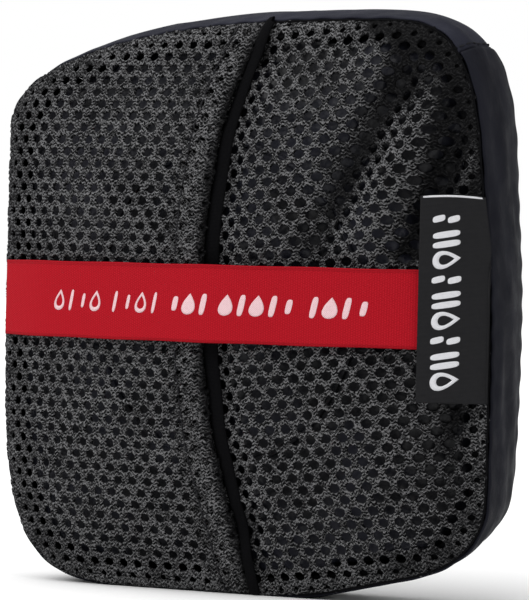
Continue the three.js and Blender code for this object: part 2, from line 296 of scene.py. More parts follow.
def grid_border(nu, nv):
    """The indices once round a grid's edge, from its first point back to it."""
    loop = [i * nv for i in range(nu)] + [(nu - 1) * nv + j for j in range(1, nv)]
    return loop + [i * nv + nv - 1 for i in range(nu - 2, -1, -1)] + list(range(nv - 2, -1, -1))


def grid_normals(p, wrap=False):
    if wrap:
        du = np.roll(p, -1, 0) - np.roll(p, 1, 0)
    else:
        du = np.gradient(p, axis=0)
    n = np.cross(du, np.gradient(p, axis=1))
    return n / np.maximum(np.linalg.norm(n, axis=-1, keepdims=True), 1e-9)


def sheet_piece(name, p, thick, material, weave, body=ROOT, wrap=False):
    """A closed cloth sheet: p is a grid of outer points whose u x v normal faces out."""
    nu, nv = p.shape[:2]
    n = grid_normals(p, wrap)
    count = nu * nv
    verts = np.concatenate([p.reshape(-1, 3), (p - n * thick).reshape(-1, 3)])
    faces = grid_faces(nu, nv, 0, False, wrap) + grid_faces(nu, nv, count, True, wrap)
    lines = []
    if wrap:
        ring = list(range(nu)) + [0]
        lines += [[i * nv for i in ring], [i * nv + nv - 1 for i in ring][::-1]]
    else:
        lines.append(grid_border(nu, nv))
    for line in lines:
        faces += [(b, a, a + count, b + count) for a, b in zip(line, line[1:])]
    w = np.concatenate([weave.reshape(-1, weave.shape[-1])] * 2)
    return make(name, verts, faces, material, w, body)


def tube_piece(name, path, normals, radii, material, body=ROOT, sides=10, closed=False):
    """A round or oval tube along path; radii is (across, out) in mm, or one pair per point."""
    path, normals = np.asarray(path, float), np.asarray(normals, float)
    tangent = np.roll(path, -1, 0) - np.roll(path, 1, 0) if closed else np.gradient(path, axis=0)
    tangent /= np.linalg.norm(tangent, axis=1, keepdims=True)
    across = np.cross(tangent, normals)
    across /= np.linalg.norm(across, axis=1, keepdims=True)
    out = np.cross(across, tangent)
    radii = np.broadcast_to(np.asarray(radii, float), (len(path), 2))
    angle = np.linspace(0, 2 * np.pi, sides, endpoint=False)
    ring = across[:, None] * np.cos(angle)[None, :, None] * radii[:, None, :1]
    ring = ring + out[:, None] * np.sin(angle)[None, :, None] * radii[:, None, 1:]
    verts = (path[:, None] + ring).reshape(-1, 3)
    along = np.concatenate([[0], np.cumsum(np.linalg.norm(np.diff(path, axis=0), axis=1))])
    weave = np.stack([np.repeat(along, sides), np.tile(angle * radii.mean(), len(path))], 1)
    faces, n = [], len(path)
    for i in range(n if closed else n - 1):
        for j in range(sides):
            a, b = i * sides + j, ((i + 1) % n) * sides + j
            c, d = ((i + 1) % n) * sides + (j + 1) % sides, i * sides + (j + 1) % sides
            faces.append((a, d, c, b))
    if not closed:
        faces.append(tuple(range(sides)))
        faces.append(tuple((n - 1) * sides + j for j in range(sides))[::-1])
    return make(name, verts, faces, material, weave, body)


def stitches(name, path, normals, material, length, gap, radius):
    """A row of separate stitches along a path, each one a small thread bead that dips at its ends."""
    path, normals = np.asarray(path, float), np.asarray(normals, float)
    along = np.concatenate([[0], np.cumsum(np.linalg.norm(np.diff(path, axis=0), axis=1))])
    verts, faces, weave = [], [], []
    sides, rings = 6, 5
    for s in np.arange(0, along[-1] - length, length + gap):
        at = s + np.linspace(0, 1, rings) * length
        p = np.stack([np.interp(at, along, path[:, k]) for k in range(3)], 1)
        n = np.stack([np.interp(at, along, normals[:, k]) for k in range(3)], 1)
        t = np.gradient(p, axis=0)
        t /= np.linalg.norm(t, axis=1, keepdims=True)
        a = np.cross(t, n)
        a /= np.linalg.norm(a, axis=1, keepdims=True)
        swell = np.array([0.35, 0.9, 1.0, 0.9, 0.35]) * radius
        p = p + n * (np.array([-0.25, 0.05, 0.12, 0.05, -0.25]) * radius * 2)[:, None]
        angle = np.linspace(0, 2 * np.pi, sides, endpoint=False)
        ring = a[:, None] * np.cos(angle)[None, :, None] + n[:, None] * np.sin(angle)[None, :, None]
        start = len(verts) * rings * sides
        verts.append((p[:, None] + ring * swell[:, None, None]).reshape(-1, 3))
        weave.append(np.stack([np.repeat(at, sides), np.tile(angle * radius, rings)], 1))
        for i in range(rings - 1):
            for j in range(sides):
                k = (j + 1) % sides
                quad = (i * sides + j, i * sides + k, (i + 1) * sides + k, (i + 1) * sides + j)
                faces.append(tuple(start + q for q in quad))
        faces.append(tuple(start + j for j in range(sides)))
        faces.append(tuple(start + (rings - 1) * sides + j for j in range(sides))[::-1])
    return make(name, np.concatenate(verts), faces, material, np.concatenate(weave))


# ---------------------------------------------------------------- materials
class Nodes:
    """Short spelling for one material's node tree."""

    def __init__(self, name, rough, specular):
        self.material = bpy.data.materials.new(name)
        self.material.use_nodes = True
        self.tree = self.material.node_tree
        self.shader = self.tree.nodes["Principled BSDF"]
        self.shader.inputs["Roughness"].default_value = rough
        self.shader.inputs["Specular IOR Level"].default_value = specular

    def node(self, kind, **settings):
        made = self.tree.nodes.new(kind)
        for key, value in settings.items():
            setattr(made, key, value)
        return made

    def put(self, value, socket):
        if isinstance(value, (int, float)):
            socket.default_value = value
        elif isinstance(value, tuple):
            socket.default_value = value if len(value) == len(socket.default_value) else (*value, 1)
        else:
            self.tree.links.new(value, socket)

    def wave(self, value, period):
        return self.math("SINE", self.math("MULTIPLY", value, 2 * math.pi / period))

    def math(self, operation, a, b=0.0):
        n = self.node("ShaderNodeMath", operation=operation)
        for k, v in enumerate((a, b)):
            self.put(v, n.inputs[k])
        return n.outputs[0]

    def weave(self):
        n = self.node("ShaderNodeAttribute", attribute_name="weave")
        s = self.node("ShaderNodeSeparateXYZ")
        self.tree.links.new(n.outputs["Vector"], s.inputs[0])
        return n.outputs["Vector"], s.outputs[0], s.outputs[1], s.outputs[2]

    def noise(self, vector, scale, detail=3.0, rough=0.5):
        n = self.node("ShaderNodeTexNoise")
        self.put(vector, n.inputs["Vector"])
        n.inputs["Scale"].default_value = scale
        n.inputs["Detail"].default_value = detail
        n.inputs["Roughness"].default_value = rough
        return n.outputs["Fac"]

    def place(self):
        return self.node("ShaderNodeTexCoord").outputs["Object"]

    def ramp(self, value, lo, hi, a=0.0, b=1.0):
        n = self.node("ShaderNodeMapRange")
        n.interpolation_type = "SMOOTHSTEP"
        for key, v in (("Value", value), ("From Min", lo), ("From Max", hi), ("To Min", a), ("To Max", b)):
            self.put(v, n.inputs[key])
        return n.outputs["Result"]

    def mix(self, factor, a, b):
        n = self.node("ShaderNodeMix", data_type="RGBA")
        self.put(factor, n.inputs[0])
        self.put(a, n.inputs[6])
        self.put(b, n.inputs[7])
        return n.outputs[2]

    def color(self, value):
        self.put(value, self.shader.inputs["Base Color"])

    def rough(self, value):
        self.put(value, self.shader.inputs["Roughness"])

    def bump(self, height, distance, strength=1.0):
        n = self.node("ShaderNodeBump")
        n.inputs["Distance"].default_value = distance
        n.inputs["Strength"].default_value = strength
        self.put(height, n.inputs["Height"])
        self.tree.links.new(n.outputs["Normal"], self.shader.inputs["Normal"])


PITCH, ROW, NET_THICK = 4.45, 3.15, 0.85


def mesh_cloth():
    """Warp knit: pale zig-zag courses that sway round every hole, on near black. The yarn's paleness is
    multiplied by painted light and shade from the weave attribute's third column.
    """
    m = Nodes("air_mesh", 0.85, 0.06)
    vector, x, y, painted_shading = m.weave()
    wobble = m.math("MULTIPLY", m.math("SUBTRACT", m.noise(vector, 0.9, 3.0, 0.6), 0.5), 1.0)
    sway = m.math("MULTIPLY", m.math("SINE", m.math("MULTIPLY", y, math.pi / ROW)),
                  m.math("COSINE", m.math("MULTIPLY", x, 2 * math.pi / PITCH)))
    level = m.math("ADD", m.math("SUBTRACT", y, m.math("MULTIPLY", sway, 0.34)), wobble)
    across = m.math("ADD", x, wobble)
    zig = m.math("MULTIPLY", m.math("PINGPONG", m.math("DIVIDE", across, 0.66), 1.0), 0.62)
    course = m.math("FRACT", m.math("DIVIDE", m.math("ADD", level, zig), ROW / 3))
    yarn = m.ramp(m.math("ABSOLUTE", m.math("SUBTRACT", course, 0.5)), 0.04, 0.24, 1.0, 0.0)
    contour = m.math("ABSOLUTE", m.math("SUBTRACT", m.noise(vector, 1.05, 2.0, 0.6), 0.5))
    loop = m.ramp(contour, 0.01, 0.05, 0.7, 0.0)
    both = m.math("MAXIMUM", yarn, loop)
    patch = m.ramp(m.noise(vector, 0.08, 3.0, 0.5), 0.34, 0.66, 0.8, 1.12)
    grain = m.ramp(m.noise(vector, 1.3, 3.0, 0.6), 0.36, 0.64, 0.2, 1.6)
    # Painted shade and painted light: the yarn is darkened in folds, by the rim, along the hem and in the
    # upper right corner, and lightened on ridges.
    light = m.math("MULTIPLY", m.math("MULTIPLY", m.math("MULTIPLY", both, patch), grain), painted_shading)
    m.color(m.mix(light, (0.0032, 0.0032, 0.0036), (0.178, 0.178, 0.183)))
    m.bump(both, 0.0002, 0.9)
    return m.material


# Dark navy nylon; the second argument scales every colour, so a lighter copy is painted light standing for
# the same cloth in stronger light.
def nylon_cloth(name, painted_light):
    m = Nodes(name, 0.6, 0.05)
    vector, x, y, _ = m.weave()
    warp = m.wave(x, 0.42)
    weft = m.wave(y, 0.42)
    cloth = m.math("MULTIPLY", warp, weft)
    # Long slanted lighter streaks are painted sheen: highlights standing in for light along the nylon's
    # creases.
    streak = m.math("ADD", m.math("MULTIPLY", x, 0.035), m.math("MULTIPLY", y, 0.16))
    painted_sheen_streak = m.math("PINGPONG", m.math("ADD", streak, m.noise(vector, 0.03, 3.0, 0.6)), 1.0)
    cloud = m.ramp(m.noise(vector, 0.06, 4.0, 0.6), 0.3, 0.7, 0.2, 1.0)
    patch = m.math("MULTIPLY", cloud, m.ramp(painted_sheen_streak, 0.0, 1.0, 0.0, 1.6))
    low, high, top = (tuple(v * painted_light for v in shade) for shade in (
        (0.0070, 0.0074, 0.0112), (0.0108, 0.0113, 0.0165), (0.0160, 0.0166, 0.0240)))
    m.color(m.mix(m.ramp(cloth, -1, 1, 0.0, 0.35), m.mix(patch, low, high), top))
    m.rough(m.ramp(m.noise(vector, 0.2, 3.0), 0.3, 0.7, 0.5, 0.66))
    soft = m.noise(vector, 0.16, 4.0, 0.55)
    m.bump(m.math("ADD", m.math("MULTIPLY", cloth, 0.05), m.math("MULTIPLY", soft, 1.2)), 0.0006, 0.7)
    return m.material


def cover_cloth():
    m = Nodes("coated_nylon", 0.45, 0.2)
    place = m.place()
    folds = m.noise(place, 48.0, 4.0, 0.55)
    fine = m.noise(place, 900.0, 2.0)
    # The colour is lighter on the raised folds, painted light and shade following the fold bumps, and the
    # pale patches are painted highlights where folds catch the light.
    painted_light = m.mix(m.ramp(folds, 0.42, 0.68), (0.0035, 0.0037, 0.0055), (0.021, 0.022, 0.033))
    painted_highlight_patch = m.ramp(m.noise(place, 30.0, 3.0, 0.5), 0.56, 0.7, 0.0, 0.8)
    m.color(m.mix(painted_highlight_patch, painted_light, (0.046, 0.046, 0.060)))
    m.rough(m.ramp(fine, 0.3, 0.7, 0.3, 0.46))
    m.bump(m.math("ADD", m.math("MULTIPLY", folds, 3.0), m.math("MULTIPLY", fine, 0.1)), 0.0016, 0.8)
    return m.material


def tape_cloth():
    m = Nodes("binding_tape", 0.95, 0.03)
    vector, x, _, _ = m.weave()
    rib = m.math("MULTIPLY", m.wave(x, 0.35), 0.25)
    fine = m.noise(vector, 2.4, 3.0, 0.6)
    m.color(m.mix(m.ramp(m.math("ADD", rib, fine), 0.1, 1.0),
                  (0.0022, 0.0022, 0.0025), (0.0062, 0.0062, 0.007)))
    m.bump(m.math("ADD", rib, fine), 0.0001, 0.6)
    return m.material


def thread_cloth():
    m = Nodes("sewing_thread", 0.7, 0.1)
    _, x, y, _ = m.weave()
    twist = m.wave(m.math("ADD", x, m.math("MULTIPLY", y, 1.2)), 0.45)
    m.color(m.mix(m.ramp(twist, -1, 1), (0.005, 0.005, 0.006), (0.028, 0.028, 0.032)))
    m.bump(twist, 0.00006, 0.8)
    return m.material


KNIT = 0.62  # the elastic's knit, in mm


def elastic_cloth():
    m = Nodes("red_elastic", 0.8, 0.05)
    vector, x, y, _ = m.weave()
    column = m.wave(x, KNIT)
    half = m.math("MULTIPLY", m.math("FLOOR", m.math("DIVIDE", x, KNIT)), KNIT / 2)
    row = m.wave(m.math("ADD", y, half), KNIT)
    column, row = (m.math("ADD", m.math("MULTIPLY", v, 0.5), 0.5) for v in (column, row))
    knit = m.math("MULTIPLY", column, row)
    edge = m.ramp(m.math("ABSOLUTE", y), 8.9, 9.25, 0.0, 1.0)
    rib = m.ramp(m.wave(y, 0.5), -0.4, 0.8)
    grain = m.ramp(m.noise(vector, 1.8, 3.0), 0.3, 0.7, 0.0, 1.0)
    base = m.mix(knit, (0.31, 0.0045, 0.010), (0.47, 0.010, 0.021))
    base = m.mix(m.math("MULTIPLY", grain, 0.25), base, (0.40, 0.012, 0.022))
    dark = m.math("MULTIPLY", edge, m.math("ADD", m.math("MULTIPLY", rib, 0.4), 0.25))
    m.color(m.mix(dark, base, (0.25, 0.005, 0.010)))
    m.bump(m.math("ADD", knit, m.math("MULTIPLY", edge, rib)), 0.00012, 0.8)
    return m.material


def print_ink(name, color, shade):
    m = Nodes(name, 0.75, 0.2)
    vector, x, y, _ = m.weave()
    knit = m.math("MULTIPLY", m.wave(x, 0.5), m.wave(y, 0.5))
    m.color(m.mix(m.ramp(m.math("ADD", knit, m.noise(vector, 1.5, 2.0)), -0.4, 1.2), shade, color))
    m.bump(knit, 0.00006, 0.6)
    return m.material


def label_cloth():
    m = Nodes("woven_label", 0.7, 0.06)
    vector, x, y, _ = m.weave()
    weft = m.wave(y, 0.32)
    warp = m.wave(x, 0.5)
    cross = m.math("MULTIPLY", weft, warp)
    satin = m.math("ADD", m.math("MULTIPLY", weft, 0.6), m.math("MULTIPLY", cross, 0.4))
    grain = m.noise(vector, 0.7, 3.0)
    m.color(m.mix(m.ramp(m.math("ADD", satin, grain), -0.5, 1.5),
                  (0.010, 0.010, 0.0108), (0.0195, 0.0195, 0.021)))
    m.bump(satin, 0.00008, 0.7)
    return m.material


def floor_paint():
    m = Nodes("studio_floor", 0.9, 0.1)
    m.color((0.93, 0.93, 0.93))
    return m.material


MESH, COVER, TAPE = mesh_cloth(), cover_cloth(), tape_cloth()
# The top strip is the same nylon as the sides and back, painted about twice as light (1.9 against 0.9):
# painted light from above.
NYLON, NYLON_PAINTED_LIT = nylon_cloth("gusset_nylon", 0.9), nylon_cloth("gusset_nylon_top_painted_lighter", 1.9)
THREAD, ELASTIC, LABEL = thread_cloth(), elastic_cloth(), label_cloth()
BAND_INK = print_ink("band_print", (0.80, 0.60, 0.62), (0.62, 0.36, 0.39))
LABEL_INK = print_ink("label_print", (0.74, 0.74, 0.76), (0.50, 0.50, 0.53))


# ---------------------------------------------------------------- the air mesh
def net_piece(name, side, low, high, rim_share, tilt, shift, lift=0.0, hole=(1.2, 1.06)):
    """A perforated knit: staggered cells with rounded strands, laid on the front and cut to its
    outline. low and high bound it to the left and right as distances from the slit line, in mm;
    hole is half of a hole's width and height."""
    c, s = math.cos(tilt), math.sin(tilt)
    cx, cy = PITCH / 2, ROW
    corner_y = ((cx ** 2 + cy ** 2) / 2 - cx * cx) / cy
    tip_y = (cx ** 2 + cy ** 2) / 2 / cy
    corners = [(cx, corner_y), (0, tip_y), (-cx, corner_y), (-cx, -corner_y), (0, -tip_y), (cx, -corner_y)]
    border = []
    for k in range(6):
        a, b = corners[k - 1], corners[k]
        border += [((a[0] + b[0]) / 2, (a[1] + b[1]) / 2), b]
    border, sides = np.array(border), len(border)
    angle = np.arctan2(border[:, 1], border[:, 0])
    inner = np.stack([np.cos(angle) * hole[0], np.sin(angle) * hole[1]], 1)
    verts, heights, faces, weave = [], [], [], []
    rows, cols = int(90 / ROW) + 2, int(90 / PITCH) + 2
    for j in range(-rows, rows + 1):
        for i in range(-cols, cols + 1):
            ox, oz = i * PITCH + (j % 2) * PITCH / 2 + shift[0], j * ROW + shift[1]
            x, z = ox * c - oz * s, MID_Z + ox * s + oz * c
            near = np.array([x]), np.array([z])
            share, from_slit = share_of(*near)[0], x - slit_x(near[1])[0]
            if share > rim_share + 0.045 or not low - PITCH < from_slit < high + PITCH:
                continue
            cell, h = [], []
            by_rim = smooth(share, rim_share - 0.07, rim_share)
            by_slit = smooth(from_slit, high - 3.6, high - 1.2)
            small = inner * (1 - 0.7 * max(by_rim, by_slit))
            rings = [(border, 0.1), (border * 0.55 + small * 0.45, 0.42),
                     (border * 0.18 + small * 0.82, 0.24), (small, -0.2)]
            for ring, height in rings:
                cell.append(np.stack([ox + ring[:, 0], oz + ring[:, 1]], 1))
                h.append(np.full(sides, height))
            cell = np.concatenate(cell)
            start = len(verts) * len(cell)
            weave.append(cell - shift)
            turned = cell[:, 0] * c - cell[:, 1] * s, MID_Z + cell[:, 0] * s + cell[:, 1] * c
            verts.append(np.stack(turned, 1))
            heights.append(np.concatenate(h))
            for r in range(len(rings) - 1):
                for k in range(sides):
                    a, b = start + r * sides + k, start + r * sides + (k + 1) % sides
                    faces.append((a, b, b + sides, a + sides))
    flat, heights, weave = np.concatenate(verts), np.concatenate(heights), np.concatenate(weave)
    x, z = flat[:, 0], flat[:, 1]
    # The third weave column is painted light and shade (folds, rim, hem, upper right corner), read by the
    # mesh's colour.
    weave = np.column_stack([weave, painted_light_and_shade(x, z, side)])
    share, from_slit = share_of(x, z), x - slit_x(z)
    past = (share > rim_share) | (from_slit < low) | (from_slit > high)
    faces = np.array(faces)
    faces = faces[~past[faces].all(1)]
    pull = np.minimum(1, rim_share / share)
    x, z = x * pull, MID_Z + (z - MID_Z) * pull
    x = np.clip(x, slit_x(z) + low, slit_x(z) + high)
    points = front_point(x, z, side, heights + lift)
    piece = make(name, points, faces, MESH, weave, None)
    bm_clean(piece)
    thick = piece.modifiers.new("thick", "SOLIDIFY")
    thick.thickness, thick.offset, thick.use_rim = NET_THICK * MM, -1.0, True
    apply_all(piece)
    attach(piece, ROOT)
    return piece


WELD = 0.00003  # points nearer than this are one, in m


def bm_clean(piece):
    """Joins the cells into one net and drops what the cut edge squeezed flat."""
    bm = bmesh.new()
    bm.from_mesh(piece.data)
    bmesh.ops.remove_doubles(bm, verts=bm.verts, dist=WELD)
    bmesh.ops.dissolve_degenerate(bm, edges=bm.edges, dist=WELD)
    bmesh.ops.delete(bm, geom=[v for v in bm.verts if not v.link_faces], context="VERTS")
    bm.to_mesh(piece.data)
    bm.free()
    piece.data.shade_smooth()


def apply_all(piece):
    """Replaces a piece's mesh with its evaluated one, so that no modifier is left."""
    graph = bpy.context.evaluated_depsgraph_get()
    graph.update()
    made = bpy.data.meshes.new_from_object(piece.evaluated_get(graph), depsgraph=graph)
    piece.modifiers.clear()
    piece.data = made


FAR = 200.0
HEM = 10.4
left_net = net_piece("mesh_panel_left", "left", -FAR, 0.0, NET_EDGE, math.radians(-0.5), (0.6, 0.4))
right_net = net_piece("mesh_panel_right", "right", -OVERLAP, FAR, NET_EDGE, math.radians(6.0),
                      (1.9, 1.3), -0.5, (1.36, 1.2))
hem_net = net_piece("mesh_hem_left", "left", -HEM, -0.3, 0.972, math.radians(2.0), (2.9, 2.0), -0.95)
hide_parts("front_panel_left")
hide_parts("front_panel_right")

# ---------------------------------------------------------------- slit binding and hem stitches
slit_z = np.linspace(0.8, HEIGHT - 0.8, 260)


def slit_line(offset, side, height):
    p = front_point(slit_x(slit_z) + offset, slit_z, side, height)
    q = front_point(slit_x(slit_z) + offset, slit_z, side, height + 1.0)
    return p, q - p


path, normal = slit_line(1.5, "left", 1.8 * smooth(np.abs(slit_z - MID_Z), 52, 72) - 1.2)
bound = 1.45 + 0.75 * np.sin(np.pi * slit_z / HEIGHT)
bound = np.stack([bound, np.full_like(bound, 0.6)], 1)
binding_left = tube_piece("slit_bound_edge_left", path, normal, bound, TAPE, sides=16)
path, normal = slit_line(-OVERLAP - 0.4, "right", -0.9)
binding_right = tube_piece("slit_bound_edge_right", path, normal, (1.5, 0.6), TAPE, sides=14)
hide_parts("slit_binding_left")
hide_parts("slit_binding_right")
path, normal = slit_line(-7.0, "left", 0.45)
hem_left = stitches("slit_hem_stitches_left", path, normal, THREAD, 2.4, 0.6, 0.24)
path, normal = slit_line(-OVERLAP + 5.5, "right", 0.0)
hem_right = stitches("slit_hem_stitches_right", path, normal, THREAD, 2.4, 0.6, 0.24)
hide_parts("slit_hem_thread_left")
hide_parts("slit_hem_thread_right")


# ---------------------------------------------------------------- gusset and back
def gusset_piece(name, start, stop, count, material):
    direction = np.linspace(start, stop, count)
    depth = np.linspace(1, -1, 25)
    d, k = np.meshgrid(direction, depth, indexing="ij")
    p = gusset_point(d, k)
    weave = np.stack([d * MEAN_R, k * HALF_G], -1)
    return sheet_piece(name, p, 0.6, material, weave)


JOIN_GAP = 0.0003
top_span = JOINS[0] + JOIN_GAP, JOINS[1] - JOIN_GAP
side_span = JOINS[1] + JOIN_GAP, JOINS[0] + 2 * math.pi - JOIN_GAP
gusset_top = gusset_piece("gusset_top_strip", *top_span, 190, NYLON_PAINTED_LIT)
gusset_sides = gusset_piece("gusset_side_strip", *side_span, 520, NYLON)
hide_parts("gusset_top")
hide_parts("gusset_sides")


def disc_grid(n):
    u, v = np.meshgrid(np.linspace(-1, 1, n), np.linspace(-1, 1, n), indexing="ij")
    x, z = u * np.sqrt(1 - v * v / 2), v * np.sqrt(1 - u * u / 2)
    return np.minimum(np.hypot(x, z), 1), np.arctan2(z, x)


def back_piece():
    share, direction = disc_grid(120)
    seam = gusset_point(direction, np.ones_like(direction))
    plain = rim(direction)
    r = np.minimum(np.hypot(seam[..., 0], seam[..., 2] - MID_Z), plain) * 0.998 * share
    x, z = r * np.cos(direction), MID_Z + r * np.sin(direction)
    y = HALF_G + BACK_DOME * dome(share)
    free = 1 - smooth(share, 0.82, 1)
    y = y - (0.8 * waves(x, z, 31, 42) + 0.35 * waves(x, z, 12, 16)) * free
    y = y - 0.3 * np.sin(direction * 60) * smooth(share, 0.86, 0.97)
    p = np.stack([x, y, np.maximum(z, 0.3)], -1)[::-1]
    weave = np.stack([x, z], -1)[::-1]
    return sheet_piece("back_cloth", p, 0.8, NYLON, weave)


back = back_piece()
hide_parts("back_panel")


# ---------------------------------------------------------------- seams
def seam_ring(depth, y, inset, count=720):
    d = np.linspace(0, 2 * np.pi, count, endpoint=False)
    p = gusset_point(d, np.full(count, float(depth)))
    flat = np.stack([p[:, 0], p[:, 2] - MID_Z], 1)
    length = np.linalg.norm(flat, axis=1, keepdims=True)
    flat = flat / length * (length - inset)
    out = np.stack([flat[:, 0], np.zeros(count), flat[:, 1]], 1)
    out /= np.linalg.norm(out, axis=1, keepdims=True)
    return np.stack([flat[:, 0], np.full(count, y), np.maximum(flat[:, 1] + MID_Z, 0.5)], 1), out


seams = []
for side, word in ((-1, "front"), (1, "back")):
    ring, out = seam_ring(side, side * (HALF_G + 0.2), 1.15)
    stitch = stitches(f"{word}_seam_stitches", ring, out + [0, side * 1.0, 0], THREAD, 2.6, 0.5, 0.26)
    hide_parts(f"{word}_seam_thread")
    ring, out = seam_ring(side, side * (HALF_G - 1.9), 2.3, 360)
    taped = tube_piece(f"{word}_seam_binding", ring, out, (2.3, 0.7), TAPE, sides=12, closed=True)
    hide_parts(f"{word}_seam_tape")
    seams.append((stitch, taped))


def allowance_piece():
    """The turned seam allowance, a dark ring just behind the front's edge."""
    direction = np.linspace(0, 2 * np.pi, 480, endpoint=False)
    share = np.linspace(NET_EDGE + 0.003, 0.93, 9)
    d, k = np.meshgrid(direction, share, indexing="ij")
    r = front_rim(d) * k
    x, z = r * np.cos(d), MID_Z + r * np.sin(d)
    inset = 1.7 * smooth(NET_EDGE + 0.003 - k, 0, 0.012)
    y = front_y(x, z, "right") + inset
    y = np.maximum(y, front_y(x, z, "left") + inset)
    p = np.stack([x, y, np.maximum(z, 0.8)], -1)
    weave = np.stack([d * 72, k * 72], -1)
    return sheet_piece("front_seam_allowance", p[::-1], 0.5, TAPE, weave[::-1], wrap=True)


allowance = allowance_piece()
joins = []
for j, word in zip(JOINS, ("right", "left")):
    depth = np.linspace(0.96, -0.96, 24)
    p = gusset_point(np.full(24, j + 0.0165), depth)
    q = gusset_point(np.full(24, j + 0.0165), depth * 0)
    out = np.stack([np.full(24, math.cos(j)), np.zeros(24), np.full(24, math.sin(j))], 1)
    stitch = stitches(f"gusset_join_stitches_{word}", p + out * 0.1, out, THREAD, 2.2, 0.6, 0.2)
    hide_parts(f"gusset_join_thread_{word}")
    joins.append(stitch)


# ---------------------------------------------------------------- folded rain cover
def cover_front_y(x, z):
    """How far forward the folded cover may come: just behind the mesh."""
    y = np.maximum(front_y(x, z, "left"), front_y(x, z, "right"))
    return y + 2.6


def cover_piece():
    share, direction = disc_grid(41)
    r = rim(direction) * 0.93 * share
    x, z = r * np.cos(direction), MID_Z + r * np.sin(direction)
    thin = dome(share * 0.97)
    front = np.stack([x, -7 - 15 * thin, np.maximum(z, 3.0)], -1)
    rear = np.stack([x, 7 + 4 * thin, np.maximum(z, 3.0)], -1)
    n = share.shape[0]
    verts = np.concatenate([front.reshape(-1, 3), rear.reshape(-1, 3)])
    faces = grid_faces(n, n, 0, False) + grid_faces(n, n, n * n, True)
    loop = grid_border(n, n)
    faces += [(b, a, a + n * n, b + n * n) for a, b in zip(loop, loop[1:])]
    piece = make("folded_cover", verts, faces, COVER, None, None)
    swell(piece)
    fine = piece.modifiers.new("fine", "SUBSURF")
    fine.levels = fine.render_levels = 1 if len(piece.data.polygons) > 9000 else 2
    apply_all(piece)
    settle(piece)
    piece.data.materials.clear()
    piece.data.materials.append(COVER)
    piece.data.shade_smooth()
    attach(piece, ROOT)
    return piece


SWELL_FRAMES, SWELL_LIMIT = 20, 5


def swell(piece):
    """Inflates the bundle a little as cloth, so that it fills the pouch as folded cloth does."""
    remesh = piece.modifiers.new("remesh", "REMESH")
    remesh.mode, remesh.voxel_size = "VOXEL", 3.6 * MM
    apply_all(piece)
    start = np.array([v.co for v in piece.data.vertices])
    cloth = piece.modifiers.new("cloth", "CLOTH")
    cloth.settings.quality = 5
    cloth.settings.mass = 0.3
    cloth.settings.tension_stiffness = 12
    cloth.settings.bending_stiffness = 0.4
    cloth.settings.use_pressure = True
    cloth.settings.uniform_pressure_force = 4.0
    cloth.settings.effector_weights.gravity = 0.0
    cloth.collision_settings.use_collision = False
    cloth.point_cache.frame_start, cloth.point_cache.frame_end = 1, SWELL_FRAMES
    scene = bpy.context.scene
    for f in range(1, SWELL_FRAMES + 1):
        scene.frame_set(f)
    apply_all(piece)
    scene.frame_set(1)
    now = np.array([v.co for v in piece.data.vertices])
    move = now - start
    length = np.linalg.norm(move, axis=1, keepdims=True)
    now = start + move * np.minimum(1, SWELL_LIMIT * MM / np.maximum(length, 1e-9))
    piece.data.vertices.foreach_set("co", now.astype(np.float32).ravel())
    piece.data.update()


def settle(piece):
    """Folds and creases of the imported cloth, kept behind the mesh, inside the gusset and off the floor."""
    co = np.array([v.co for v in piece.data.vertices]) / MM
    x, y, z = co[:, 0], co[:, 1], co[:, 2]
    ahead = smooth(-y, 2, 10)
    lean = 0.6 * x + z
    ridge = (1 - np.abs(np.sin(lean / 9.5 + 1.6 * waves(x, z, 14, 46)))) ** 3
    ridge2 = (1 - np.abs(np.sin((x - 0.5 * z) / 14 + 1.2 * waves(x, z, 77, 38)))) ** 4
    y = y - ahead * (1.6 * ridge + 1.2 * ridge2 + 0.7 * waves(x, z, 41, 16))
    y = np.maximum(y, cover_front_y(x, z))
    reach, direction = np.hypot(x, z - MID_Z), np.arctan2(z - MID_Z, x)
    most = rim(direction) * back_share(direction, np.clip((y / HALF_G + 1) / 2, 0, 1)) - 3.6
    pull = np.minimum(1, most / np.maximum(reach, 1e-6))
    x, z = x * pull, MID_Z + (z - MID_Z) * pull
    y = np.minimum(y, back_point(x, z) - 2.2)
    z = np.maximum(z, 2.4)
    piece.data.vertices.foreach_set("co", (np.stack([x, y, z], 1) * MM).astype(np.float32).ravel())
    piece.data.update()


cover = cover_piece()
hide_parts("rain_cover")

hem_turn = np.linspace(0, 2 * np.pi, 300, endpoint=False)
hem_x, hem_z = 38 * np.cos(hem_turn), MID_Z + 41 * np.sin(hem_turn)
gather = 0.72 + 0.14 * np.abs(np.sin(hem_turn * 75))
hem_y = cover_front_y(hem_x, hem_z) - 0.1
hem_path = np.stack([hem_x, hem_y, hem_z], 1)
hem_cord = tube_piece("cover_hem_gathered", hem_path, np.tile([0.0, -1.0, 0.0], (300, 1)),
                      np.stack([gather, gather], 1), COVER, sides=10, closed=True)
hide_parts("cover_hem_elastic")


# ---------------------------------------------------------------- elastic band
BAND_Z, BAND_HALF = 75.0, 10.0


def band_height(x):
    """The taut band bridges the front's hollows. Near the seams it dives in under the label
    and the gusset."""
    return 1.7 + 1.2 * np.exp(-((x - 2) / 16) ** 2) - 1.0 * smooth(np.abs(x), 52, 68)


def over_front(x, z, height, most_share, steepest, slack=0.0):
    """Points over the plain dome at mid height, moved out along its normal and back by slack."""
    def plain(q):
        return -(HALF_G + FRONT_DOME * dome(np.clip(np.abs(q) / HALF_W, 0, most_share)))

    e = 0.2
    slope = np.clip((plain(x + e) - plain(x - e)) / (2 * e), -steepest, steepest)
    n = np.stack([slope, -np.ones_like(slope), np.zeros_like(slope)], -1)
    n /= np.linalg.norm(n, axis=-1, keepdims=True)
    return np.stack([x, plain(x) + slack, z], -1) + n * height[..., None]


def band_point(x, z, height=0.0):
    return over_front(x, z, band_height(x) + height, EDGE, 1.6)


